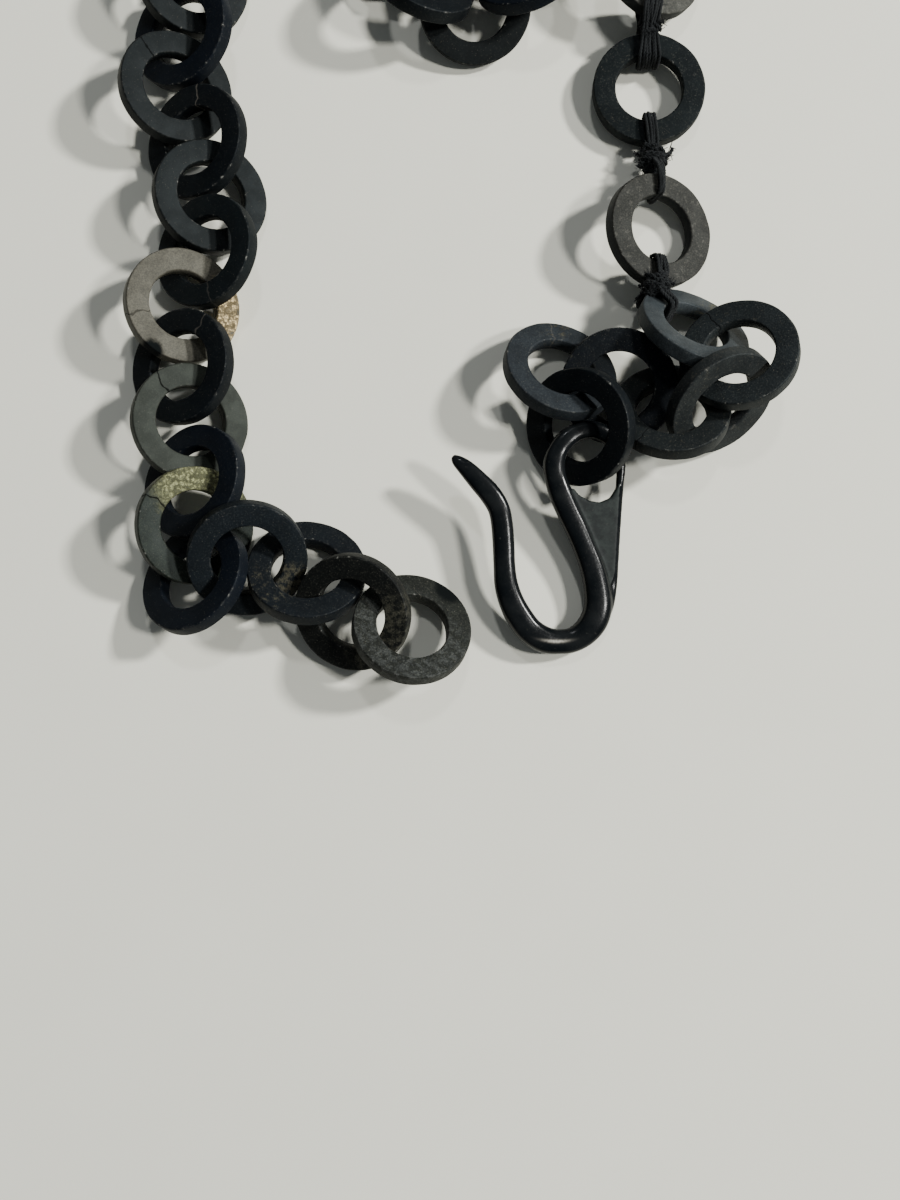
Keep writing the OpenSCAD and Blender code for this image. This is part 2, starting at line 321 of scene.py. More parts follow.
def make_hairline():
    """Mask of a hairline crack that runs out from the hole at an angle."""
    tree, g, ins, outs = group("ShaderNodeTree", "Hairline crack",
                               ON_RING + [("Angle", "Float", 0.0), ("Width", "Float", 0.1)], MASK)
    parts = g.split(g.turned(ins["At"], g.times(ins["Angle"], -1.0)))
    wander = g.times(g.minus(g.noise(ins["Noise At"], 0.55, 2.0), 0.5), 1.6)
    jitter = g.times(g.minus(g.noise(ins["Noise At"], 3.0, 2.0), 0.5), 0.22)
    off = g.math("ABSOLUTE", g.plus(g.plus(parts[1], wander), jitter))
    line = g.ramp(g.math("DIVIDE", off, ins["Width"]), 1.0, 0.3)
    g.feed(outs["Mask"], g.times(line, g.ramp(parts[0], 0.0, 1.0)))
    return tree


def make_patch():
    """Mask of a blotch on a ring at an angle and a radius, with a torn outline."""
    tree, g, ins, outs = group("ShaderNodeTree", "Patch",
                               ON_RING + [("Angle", "Float", 0.0), ("Radius", "Float", MIDDLE_R),
                                          ("Reach", "Float", 2.0), ("Torn", "Float", 3.0)], MASK)
    flat = g.vector("MULTIPLY", g.turned(ins["At"], g.times(ins["Angle"], -1.0)), (1, 1, 0))
    away = g.length(g.vector("SUBTRACT", flat, g.join(ins["Radius"])))
    torn = g.times(g.minus(g.noise(ins["Noise At"], 1.1, 5.0, 0.65), 0.5), ins["Torn"])
    share = g.math("DIVIDE", g.plus(away, torn), g.math("MAXIMUM", ins["Reach"], 0.01))
    g.feed(outs["Mask"], g.ramp(share, 1.0, 0.6))
    return tree


def make_stain():
    """Mask of stains with ragged edges, which cover about the given share."""
    tree, g, ins, outs = group("ShaderNodeTree", "Stain", [("Noise At", "Vector"), ("Cover", "Float", 0.3)],
                               MASK)
    level = g.minus(0.72, g.times(ins["Cover"], 0.44))
    stain = g.ramp(g.minus(g.noise(ins["Noise At"], 1.5, 8.0, 0.75), level), -0.05, 0.09)
    any_at_all = g.ramp(ins["Cover"], 0.0, 0.03)
    g.feed(outs["Mask"], g.times(stain, any_at_all))
    return tree


# Materials
def make_ring_material():
    """Old hard rubber. Each ring's own values lie in its mesh, as the function look says."""
    made, g, shader = material("worn_hard_rubber")
    place = g.add("ShaderNodeGroup", node_tree=RING_PLACE).outputs

    def placed(tree, **values):
        """A group's outputs at the point on the ring."""
        node = g.add("ShaderNodeGroup", values, node_tree=tree)
        for key in ("At", "Noise At"):
            if key in node.inputs:
                g.feed(node.inputs[key], place[key])
        return node.outputs

    grain = placed(GRAIN)
    gritty, relief = g.attribute("ring_grain"), g.attribute("ring_relief")
    angle, strength, _ = g.split(g.attribute("ring_crack", "Vector"))
    crack = g.times(placed(HAIRLINE, Angle=angle, Width=0.14)["Mask"], g.math("ABSOLUTE", strength))
    pale = g.math("LESS_THAN", strength, 0.0)
    angle, reach, _ = g.split(g.attribute("ring_chip", "Vector"))
    chip = g.times(placed(PATCH, Angle=angle, Radius=RING_D / 2 + 0.2, Reach=reach, Torn=1.0)["Mask"],
                   g.math("GREATER_THAN", reach, 0.001))
    angle, reach, cover = g.split(g.attribute("ring_region", "Vector"))
    near = placed(PATCH, Angle=angle, Reach=reach)["Mask"]
    stain = g.times(placed(STAIN, Cover=cover)["Mask"], near)
    beaten = g.times(stain, relief)
    worn = placed(EDGE_WEAR, Edge=place["Edge"], Width=0.2, Scale=1.5)["Mask"]
    nicks = g.times(worn, g.ramp(g.noise(place["Noise At"], 2.2, 3.0, 0.6), 0.58, 0.66))
    speckle = g.ramp(grain["Fine"], 0.25, 0.75, -1.0, 1.0)

    # Colour: stained and shaded, then covered by one kind of wear after the other
    colour = g.mix(stain, g.attribute("ring_colour", "Color"), g.attribute("ring_stain", "Color"))
    shade = g.plus(1.0, g.times(speckle, gritty, 0.55))
    shade = g.times(shade, g.ramp(grain["Cloud"], 0.0, 1.0, 0.84, 1.13))
    # Painted glints: on beaten stains the dimple tops are lightened and their rims darkened in the colour,
    # partly the hammered texture and partly painted golden glints
    hammered_tone_and_glints = g.ramp(grain["Dimples"], 0.12, 0.62, 0.9, -0.65)
    shade = g.times(shade, g.plus(1.0, g.times(beaten, hammered_tone_and_glints)))
    colour = g.scale(colour, shade)
    rubbed_edges = (g.times(worn, 0.2), (0.09, 0.09, 0.082))
    pale_nicks = (g.times(nicks, 0.8), (0.20, 0.20, 0.18))
    dust_in_pores = (g.times(grain["Pores"], g.plus(0.12, g.times(gritty, 0.45))), (0.22, 0.20, 0.16))
    dust_specks = (g.times(g.ramp(grain["Fine"], 0.56, 0.66), g.times(gritty, 0.26)), (0.085, 0.085, 0.066))
    scratches = (g.times(grain["Scratch"], g.times(gritty, 0.12)), (0.3, 0.28, 0.22))
    # Side walls darker than the faces, by as much as walls says
    dark_walls = (g.times(place["Wall"], g.attribute("ring_walls")), (0.0065, 0.0085, 0.0100))
    bare_chip = (chip, (0.003, 0.004, 0.004))
    open_crack = (g.times(crack, 0.9), g.mix(pale, (0.002, 0.002, 0.002), (0.11, 0.10, 0.085)))
    for mask, cover in (rubbed_edges, pale_nicks, dust_in_pores, dust_specks, scratches, dark_walls,
                        bare_chip, open_crack):
        colour = g.mix(mask, colour, cover)

    rough = g.plus(g.attribute("ring_rough"), g.times(speckle, 0.07))
    rough = g.plus(rough, g.ramp(grain["Cloud"], 0.0, 1.0, 0.03, -0.03))
    rough = g.minus(rough, g.times(beaten, 0.16))
    rough = g.plus(rough, g.times(g.math("MAXIMUM", crack, chip), 0.4))

    height = g.times(grain["Fine"], g.plus(0.15, g.times(gritty, 0.6)))
    for mask, depth in ((grain["Pores"], 0.5), (crack, 1.6), (chip, 2.0)):
        height = g.minus(height, g.times(mask, depth))
    height = g.plus(height, g.times(g.times(grain["Dimples"], relief), g.times(near, 4.5)))

    g.feed_all(shader, {"Base Color": colour, "Roughness": g.math("MAXIMUM", rough, 0.12, clamp=True),
                        "Specular IOR Level": 0.12, "Specular Tint": (0.88, 0.97, 1.0, 1),
                        "Normal": g.bump(height, 0.4, 0.12 * MM)})
    return made


def make_hook_material():
    """Smooth black moulding, dusty in the sunk web, with a painted highlight on the bend."""
    made, g, shader = material("black_moulding")
    at = g.place_mm()
    fine = g.noise(at, 4.0, 3.0, 0.55)
    web = g.attribute("web")
    cloud = g.ramp(g.noise(at, 0.35, 4.0), 0.35, 0.7)
    colour = g.mix(cloud, (0.0028, 0.0038, 0.0046), (0.0075, 0.0086, 0.0092))
    dusty = g.ramp(g.noise(at, 0.8, 6.0, 0.7), 0.35, 0.65, 0.3, 1.0)
    colour = g.mix(g.times(web, dusty), colour, (0.0180, 0.0235, 0.0215))
    specks = g.times(g.ramp(g.noise(at, 2.6, 5.0, 0.7), 0.60, 0.72), 0.3)
    colour = g.mix(specks, colour, (0.07, 0.068, 0.058))
    # Painted highlight: a pale warm spot along the top of the bend stands in for the highlight that lies
    # there
    rubbed = g.times(g.attribute("rubbed"), g.ramp(fine, 0.25, 0.6, 0.55, 1.0))
    colour = g.mix(rubbed, colour, (0.55, 0.52, 0.45))
    rough = g.plus(g.ramp(fine, 0.2, 0.8, 0.17, 0.23), g.times(web, 0.42))
    g.feed_all(shader, {"Base Color": colour, "Roughness": rough, "Specular IOR Level": 0.14,
                        "Normal": g.bump(fine, 0.12, 0.05 * MM)})
    return made


def make_thread_material():
    """Matt black thread with a little fluff."""
    made, g, shader = material("black_thread")
    fluff = g.noise(g.place_mm(), 6.0, 4.0, 0.7)
    colour = g.mix(g.ramp(fluff, 0.3, 0.75), (0.0018, 0.0027, 0.0034), (0.0120, 0.0145, 0.0155))
    g.feed_all(shader, {"Base Color": colour, "Roughness": 0.85, "Specular IOR Level": 0.2,
                        "Sheen Weight": 0.05, "Normal": g.bump(fluff, 0.5, 0.1 * MM)})
    return made


# Rings
def make_ring_tree():
    """Sets a flat ring with bevelled edges on every point, turned as the point says."""
    tree, g, ins, outs = group("GeometryNodeTree", "Rings on points", [
        ("Geometry", "Geometry"), ("Outer Diameter", "Float", RING_D * MM),
        ("Hole Diameter", "Float", HOLE_D * MM), ("Thickness", "Float", RING_T * MM),
        ("Bevel", "Float", RING_EDGE * MM), ("Segments", "Int", 112), ("Unevenness", "Float", 0.06 * MM),
        ("Material", "Material")], [("Geometry", "Geometry")])
    width = g.times(g.minus(ins["Outer Diameter"], ins["Hole Diameter"]), 0.5)
    radius = g.times(g.plus(ins["Outer Diameter"], ins["Hole Diameter"]), 0.25)
    section = g.add("GeometryNodeCurvePrimitiveQuadrilateral", {"Width": width, "Height": ins["Thickness"]})
    section = g.add("GeometryNodeFilletCurve", {"Curve": section, "Count": 1, "Radius": ins["Bevel"]},
                    mode="POLY")
    circle = g.add("GeometryNodeCurvePrimitiveCircle", {"Resolution": ins["Segments"], "Radius": radius})
    ring = g.add("GeometryNodeCurveToMesh", {"Curve": circle, "Profile Curve": section})
    at = g.scale(g.add("GeometryNodeInputPosition").outputs[0], 1 / MM)
    ring = g.add("GeometryNodeStoreNamedAttribute", {"Geometry": ring, "Name": "ring_at", "Value": at},
                 data_type="FLOAT_VECTOR")
    rings = g.add("GeometryNodeInstanceOnPoints", {"Points": ins["Geometry"], "Instance": ring,
                                                  "Rotation": g.stored("ring_turn", "FLOAT_VECTOR")})
    rings = g.add("GeometryNodeRealizeInstances", {"Geometry": rings})
    wave = g.noise(g.seeded(g.stored("ring_at", "FLOAT_VECTOR"), g.stored("ring_seed", "FLOAT")), 0.28)
    inward = g.times(g.ramp(wave, 0.35, 0.7), g.times(ins["Unevenness"], -1.0))
    offset = g.scale(g.add("GeometryNodeInputNormal").outputs[0], inward)
    rings = g.add("GeometryNodeSetPosition", {"Geometry": rings, "Offset": offset})
    rings = g.add("GeometryNodeSetShadeSmooth", {"Geometry": rings})
    rings = g.add("GeometryNodeSetMaterial", {"Geometry": rings, "Material": ins["Material"]})
    g.feed(outs["Geometry"], rings)
    return tree


def ring_poses(node):
    """Centre and axis (mm) of every ring in a node, read from its solids."""
    bm = bmesh.new()
    bm.from_mesh(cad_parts[node].data)
    bmesh.ops.remove_doubles(bm, verts=bm.verts, dist=0.001 * MM)
    seen, poses = set(), []
    for first in bm.verts:
        if first in seen:
            continue
        seen.add(first)
        solid = [first]
        for vert in solid:
            for edge in vert.link_edges:
                other = edge.other_vert(vert)
                if other not in seen:
                    seen.add(other)
                    solid.append(other)
        points = np.array([vert.co for vert in solid]) / MM
        centre = points.mean(0)
        axis = np.linalg.svd(points - centre, full_matrices=False)[2][2]
        poses.append((Vector(centre), Vector(axis if axis[2] > 0 else -axis)))
    bm.free()
    return poses


def in_order(poses, start):
    """The poses as a walk along the chain from the point start."""
    here, left, walk = Vector(start), list(poses), []
    while left:
        nearest = min(left, key=lambda pose: (pose[0] - here).length)
        left.remove(nearest)
        walk.append(nearest)
        here = nearest[0]
    return walk


def look(colour, stain=(0, 0, 0), region=(0, 30, 0), crack=(0, 0), chip=(0, 0), rough=0.6, grain=0.4,
         relief=0.0, walls=0.0):
    """A ring's looks. Region is the angle, reach and share of its stains, relief how beaten it is there and
    how strongly its dimple tops are lightened as painted glints, crack the angle and strength of a crack
    (pale if negative), chip the angle and reach of a bare dark spot at its rim, and walls how far its side
    walls are darkened. Angles are in degrees, reaches in mm."""
    return {
        "ring_colour": colour,
        "ring_stain": stain,
        "ring_region": (math.radians(region[0]), *region[1:]),
        "ring_crack": (math.radians(crack[0]), crack[1], 0),
        "ring_chip": (math.radians(chip[0]), chip[1], 0),
        "ring_rough": rough, "ring_grain": grain, "ring_relief": relief, "ring_walls": walls,
    }


def store(piece, key, values):
    """Keeps one number or one vector for each point."""
    wide = np.ndim(values) == 2
    data = piece.data.attributes.new(key, "FLOAT_VECTOR" if wide else "FLOAT", "POINT").data
    data.foreach_set("vector" if wide else "value", np.array(values, np.float32).ravel())


def dress(piece, node):
    """Puts the piece in a node's place."""
    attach(piece, "root")
    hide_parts(node)


def ring_piece(node, looks, seed):
    """The rings of one node, each with its own look."""
    walk = in_order(ring_poses(node), PLAN + Vector(CHAIN_STARTS.get(node, (0, 0, 0))))
    piece = mesh_piece("worn_" + node, [MM * centre for centre, axis in walk], [])
    turns = []
    for centre, axis in walk:
        across = (Vector((1, 0, 0)) - axis * axis.x).normalized()
        turns.append(tuple(Matrix((across, axis.cross(across), axis)).transposed().to_euler()))
    store(piece, "ring_turn", turns)
    store(piece, "ring_seed", [seed + index * RING_SEED_STEP for index in range(len(walk))])
    for key in looks[0]:
        store(piece, key, [looks[index % len(looks)][key] for index in range(len(walk))])
    add_tree(piece, RING_TREE, {"Material": RING_MATERIAL})
    settle(piece)
    weighted = piece.modifiers.new("normals", "WEIGHTED_NORMAL")
    weighted.mode = "FACE_AREA"
    weighted.weight = 90
    settle(piece)
    dress(piece, node)


# Where the walk along a chain of many rings starts in the plan, in mm
CHAIN_STARTS = {"front_chain": (-11.4, -2.0, 4.0), "back_chain": (-33.0, 84.0, 4.0)}
# Colours that several rings share: two of stains, then two of the rubber itself
BROWN, DUST = (0.040, 0.037, 0.026), (0.034, 0.035, 0.032)
JET, NAVY = (0.0030, 0.0042, 0.0054), (0.0028, 0.0044, 0.0076)
# Looks of each node's rings in the order of the walk; where they run out, they start again
LOOKS = {
    "end_ring": [look((0.0128, 0.0138, 0.0112), (0.035, 0.0375, 0.035), (245, 11.6, 0.52), chip=(51, 2.5),
                      rough=0.62, grain=1.0)],
    "front_chain": [
        look((0.0052, 0.0057, 0.0052), (0.036, 0.035, 0.026), (-30, 7.0, 0.52), grain=0.9),
        look((0.0045, 0.0060, 0.0078), (0.044, 0.042, 0.030), (215, 3.8, 0.36), grain=0.6),
        look((0.0052, 0.0072, 0.0092), (0.048, 0.045, 0.031), (-35, 3.2, 0.55), grain=0.6),
        look(NAVY, DUST, (0, 30, 0.08)),
        # Beaten golden stain, whose dimple tops carry painted glints
        look((0.0138, 0.0178, 0.0135), (0.160, 0.164, 0.084), (82, 7.0, 0.95), (150, 1.0), rough=0.5,
             grain=0.8, relief=0.85),
        look(NAVY, DUST, (0, 30, 0.08)),
        look((0.0295, 0.0335, 0.0270), (0.042, 0.046, 0.037), (0, 30, 0.25), (128, 1.0), rough=0.62),
        look(JET, DUST, (0, 30, 0.05), (56, -0.45)),
        # Pale ring with a beaten stain, whose dimple tops carry painted glints
        look((0.084, 0.079, 0.062), (0.40, 0.31, 0.165), (0, 4.6, 0.66), (197, 0.6), (238, 1.6), rough=0.55,
             grain=0.7, relief=1.1),
        look((0.0042, 0.0060, 0.0070), DUST, (0, 30, 0.06), (-78, -0.25)),
        look((0.0064, 0.0082, 0.0086), DUST, (0, 30, 0.04)),
        look(JET, DUST, (0, 30, 0.05), (83, -0.8)),
        look((0.0064, 0.0080, 0.0084), crack=(134, 0.9)),
        look(NAVY),
        look((0.0066, 0.0082, 0.0086)),
    ],
    "back_chain": [
        look(NAVY),
        look((0.0088, 0.0108, 0.0112), DUST, (40, 4, 0.2)),
        look(JET, crack=(70, -0.6)),
        look((0.0170, 0.0190, 0.0165), DUST, (0, 30, 0.1)),
        look(JET, DUST, (0, 30, 0.05)),
        look((0.0050, 0.0060, 0.0062), BROWN, (200, 4, 0.2), (140, 0.8), rough=0.75),
        look(NAVY),
    ],
    "tied_ring_1": [look((0.045, 0.045, 0.039), (0.094, 0.092, 0.080), (0, 30, 0.38), rough=0.66,
                         grain=1.0, walls=0.75)],
    "tied_ring_2": [look((0.0040, 0.0058, 0.0064), DUST, (0, 30, 0.22), rough=0.70, grain=0.8)],
    "tied_ring_3": [look((0.0245, 0.0242, 0.0210), (0.064, 0.062, 0.053), (0, 30, 0.32), rough=0.66,
                         grain=1.0, walls=0.75)],
    "hook_ring_1": [look((0.0285, 0.0340, 0.0372), (0.080, 0.074, 0.046), (50, 3.4, 0.40), rough=0.5,
                         grain=0.7)],
    "hook_ring_2": [look((0.0105, 0.0130, 0.0140), BROWN, (0, 30, 0.20), (118, 0.9), grain=0.9)],
    "hook_ring_3": [look((0.0140, 0.0162, 0.0165), (0.038, 0.037, 0.031), (0, 30, 0.30), grain=0.7)],
    "hook_ring_4": [look((0.0075, 0.0092, 0.0096), BROWN, (0, 30, 0.22), (228, 1.0), grain=0.7)],
    "hook_ring_5": [look((0.0048, 0.0060, 0.0078), BROWN, (0, 30, 0.18), grain=0.7)],
    "hook_ring_6": [look((0.0162, 0.0194, 0.0226), BROWN, (95, 2.6, 0.36), (100, -0.25), grain=0.6)],
    "hook_ring_7": [look(JET, DUST, (0, 30, 0.06))],
}


# Hook
# x, y and half width of the hook's thick bar and of its thin bar in the plan, in mm
BAR_ROWS = [
    (0.3, 16.2, 0.3), (0.8, 15.7, 0.7), (1.9, 14.8, 1.0), (3.3, 13.4, 1.2), (4.7, 11.9, 1.3),
    (5.7, 10.3, 1.3), (6.1, 8.5, 1.3), (6.3, 6.0, 1.3), (6.4, 3.6, 1.3), (6.6, 1.5, 1.4), (7.2, -0.5, 1.5),
    (8.2, -2.4, 1.6), (9.5, -4.0, 1.6), (11.2, -5.0, 1.6), (12.9, -5.2, 1.5), (14.5, -5.0, 1.5),
    (16.0, -4.1, 1.6), (17.1, -2.7, 1.7), (17.6, -1.0, 1.7), (17.5, 1.0, 1.6), (17.0, 3.3, 1.5),
    (16.1, 5.7, 1.4), (15.1, 8.0, 1.4), (14.0, 10.2, 1.4), (13.1, 12.2, 1.4), (12.5, 14.0, 1.3),
    (12.3, 15.7, 1.3), (12.8, 17.3, 1.2), (13.9, 18.7, 1.2), (15.5, 19.6, 1.1), (17.2, 19.8, 1.1),
    (18.7, 19.2, 1.0), (19.7, 18.0, 0.8)]
THIN_ROWS = [
    (19.3, 18.6, 0.8), (20.1, 17.3, 0.8), (20.4, 15.6, 0.6), (20.3, 13.6, 0.5), (20.1, 11.0, 0.5),
    (19.9, 8.0, 0.5), (19.7, 4.6, 0.5), (19.4, 1.6, 0.6), (18.8, -0.8, 0.8), (17.9, -2.4, 1.0)]
# x and y of the corners of the sunk web, which runs into both bars, and its thickness
WEB_OUTLINE = [
    (14.6, 12.9), (15.3, 12.1), (16.4, 11.5), (17.8, 11.3), (19.1, 11.9), (20.2, 13.6), (19.9, 8.0),
    (19.6, 3.0), (18.4, -0.5), (17.0, 3.3), (15.6, 6.9), (13.6, 11.0)]
WEB_T = 1.2
# Steps from one row of a bar to the next, points round the bar, its height for its width, and how square
# its top is (2 is an oval)
BAR_STEPS, BAR_SIDES, BAR_FLAT, BAR_SQUARE = 8, 40, 0.85, 3.0
# A place near the bend in the plan, the height of the hook's middle there, and its rise for each mm to the
# left and back
LOW_AT, LOW_HEIGHT = (12.8, -5.0), 1.8
RISE_LEFT, RISE_BACK = 0.15, 0.14
HOOK_UP = Vector((RISE_LEFT, -RISE_BACK, 1)).normalized()
# Cells of the mesh that joins the hook's parts, in mm, and how strongly and how often its corners are eased
HOOK_CELLS, EASE_SHARE, EASE_ROUNDS = 0.12, 0.5, 24
# Painted highlight on the bend: its place, its reach along and across the bar, its curve and its strength
PAINTED_HIGHLIGHT_AT, PAINTED_HIGHLIGHT_ALONG, PAINTED_HIGHLIGHT_ACROSS = (12.5, -5.3), 1.3, 0.15
PAINTED_HIGHLIGHT_CURVE, PAINTED_HIGHLIGHT_STRENGTH = 0.05, 0.85
# Heights over the hook's middle, in mm: from where the painted highlight on the bend starts, where the web's
# dust ends, and how softly it ends
PAINTED_HIGHLIGHT_FROM, DUST_END, DUST_FADE = 0.6, 0.95, 0.3


def hook_height(x, y):
    """Height of the hook's middle over the table at a place in the plan."""
    return LOW_HEIGHT - RISE_LEFT * (x - LOW_AT[0]) + RISE_BACK * (y - LOW_AT[1])


def smooth_rows(rows, steps):
    """Rows along a Catmull-Rom curve through the given rows."""
    rows = np.array(rows, float)
    before = np.vstack([2 * rows[0] - rows[1], rows[:-1]])
    after = np.vstack([rows[1:], 2 * rows[-1] - rows[-2]])
    out = []
    for i in range(len(rows) - 1):
        p0, p1, p2, p3 = before[i], rows[i], rows[i + 1], after[i + 1]
        for t in np.arange(steps) / steps:
            out.append(0.5 * (2 * p1 + (p2 - p0) * t + (2 * p0 - 5 * p1 + 4 * p2 - p3) * t * t
                              + (3 * p1 - p0 - 3 * p2 + p3) * t ** 3))
    return np.vstack([out, rows[-1:]])


def bar_section():
    """Section of the bar: an oval below, a flatter top with rounded edges above."""
    section = []
    for k in range(BAR_SIDES):
        c, h = math.cos(2 * math.pi * k / BAR_SIDES), math.sin(2 * math.pi * k / BAR_SIDES)
        power = 2 / BAR_SQUARE if h > 0 else 1.0
        section.append((math.copysign(abs(c) ** power, c), BAR_FLAT * math.copysign(abs(h) ** power, h)))
    return section


def bar_mesh(rows):
    """A closed bar along the rows."""
    rows = smooth_rows(rows, BAR_STEPS)
    centre = [PLAN + Vector((x, y, hook_height(x, y))) for x, y, half in rows]
    section, last, n = bar_section(), len(rows) - 1, BAR_SIDES
    verts = []
    for i, (x, y, half) in enumerate(rows.tolist()):
        along = centre[min(i + 1, last)] - centre[max(i - 1, 0)]
        side = HOOK_UP.cross(along).normalized()
        for across, up in section:
            verts.append(MM * (centre[i] + half * (across * side + up * HOOK_UP)))
    faces = [(i * n + (k + 1) % n, (i + 1) * n + (k + 1) % n, (i + 1) * n + k, i * n + k)
             for i in range(last) for k in range(n)]
    return verts, faces + [tuple(reversed(range(n))), tuple(range(last * n, (last + 1) * n))]


def web_mesh():
    """The web's plate, closed all round."""
    verts = [MM * (PLAN + Vector((x, y, hook_height(x, y))) + side * WEB_T / 2 * HOOK_UP)
             for side in (-1, 1) for x, y in WEB_OUTLINE]
    n = len(WEB_OUTLINE)
    faces = [(k, (k + 1) % n, n + (k + 1) % n, n + k) for k in range(n)]
    return verts, faces + [tuple(reversed(range(n))), tuple(range(n, 2 * n))]


def is_inside(point, outline):
    """Whether a point lies within a closed outline, seen from above."""
    inside = False
    for a, b in zip(outline, outline[1:] + outline[:1]):
        passes = (a.y > point.y) != (b.y > point.y)
        if passes and point.x < (b.x - a.x) * (point.y - a.y) / (b.y - a.y) + a.x:
            inside = not inside
    return inside


def make_hook():
    """Both bars and the web, joined as one moulding, with masks of its dusty web and of the painted
    highlight on its bend.
    """
    verts, faces = [], []
    for part_verts, part_faces in (bar_mesh(BAR_ROWS), bar_mesh(THIN_ROWS), web_mesh()):
        faces += [tuple(i + len(verts) for i in face) for face in part_faces]
        verts += part_verts
    hook = mesh_piece("moulded_hook", verts, faces)
    merge = hook.modifiers.new("merge", "REMESH")
    merge.mode = "VOXEL"
    merge.voxel_size = HOOK_CELLS * MM
    merge.use_smooth_shade = True
    ease = hook.modifiers.new("ease", "SMOOTH")
    ease.factor = EASE_SHARE
    ease.iterations = EASE_ROUNDS
    settle(hook)
    outline = [PLAN.xy + Vector(p) for p in WEB_OUTLINE]
    sunk, worn = [], []
    for vert in hook.data.vertices:
        point = vert.co / MM
        x, y, z = point - PLAN
        above = (z - hook_height(x, y)) * HOOK_UP.z
        # Painted highlight: worn holds a pale spot along the top of the bend's crest
        from_x = x - PAINTED_HIGHLIGHT_AT[0]
        along = from_x / PAINTED_HIGHLIGHT_ALONG
        across = (y - PAINTED_HIGHLIGHT_AT[1] - PAINTED_HIGHLIGHT_CURVE * from_x ** 2) / PAINTED_HIGHLIGHT_ACROSS
        worn.append(PAINTED_HIGHLIGHT_STRENGTH * math.exp(-along ** 2 - across ** 2) if above > PAINTED_HIGHLIGHT_FROM else 0.0)
        dusty = above > 0 and is_inside(point, outline)
        sunk.append(min(max((DUST_END - above) / DUST_FADE, 0.0), 1.0) if dusty else 0.0)
    store(hook, "web", sunk)
    store(hook, "rubbed", worn)
    hook.data.materials.append(HOOK_MATERIAL)
    dress(hook, "hook")


# Thread ties
def make_thread_tree():
    """Twists plies round every path, as in sewing thread."""
    tree, g, ins, outs = group("GeometryNodeTree", "Twisted thread", [
        ("Geometry", "Geometry"), ("Plies", "Int", 3), ("Ply Radius", "Float", 0.115 * MM),
        ("Ply Offset", "Float", 0.115 * MM), ("Turns per Metre", "Float", 800.0),
        ("Step", "Float", 0.14 * MM), ("Sides", "Int", 6), ("Material", "Material")],
        [("Geometry", "Geometry")])
    path = g.add("GeometryNodeResampleCurve", {"Curve": ins["Geometry"], "Length": ins["Step"]},
                 mode="LENGTH")
    copies = g.add("GeometryNodeDuplicateElements", {"Geometry": path, "Amount": ins["Plies"]},
                   domain="SPLINE")
    length = g.add("GeometryNodeSplineParameter").outputs["Length"]
    ply_turn = g.math("DIVIDE", copies.outputs["Duplicate Index"], ins["Plies"])
    turn = g.times(g.plus(g.times(length, ins["Turns per Metre"]), ply_turn), 2 * math.pi)
    normal = g.add("GeometryNodeInputNormal").outputs[0]
    binormal = g.vector("CROSS_PRODUCT", g.add("GeometryNodeInputTangent").outputs[0], normal)
    offset = g.vector("ADD", g.scale(normal, g.times(g.math("COSINE", turn), ins["Ply Offset"])),
                      g.scale(binormal, g.times(g.math("SINE", turn), ins["Ply Offset"])))
    plies = g.add("GeometryNodeSetPosition", {"Geometry": copies, "Offset": offset})
    circle = g.add("GeometryNodeCurvePrimitiveCircle", {"Resolution": ins["Sides"],
                                                        "Radius": ins["Ply Radius"]})
    thread = g.add("GeometryNodeCurveToMesh", {"Curve": plies, "Profile Curve": circle, "Fill Caps": True})
    thread = g.add("GeometryNodeSetShadeSmooth", {"Geometry": thread})
    thread = g.add("GeometryNodeRealizeInstances", {"Geometry": thread})
    thread = g.add("GeometryNodeSetMaterial", {"Geometry": thread, "Material": ins["Material"]})
    g.feed(outs["Geometry"], thread)
    return tree


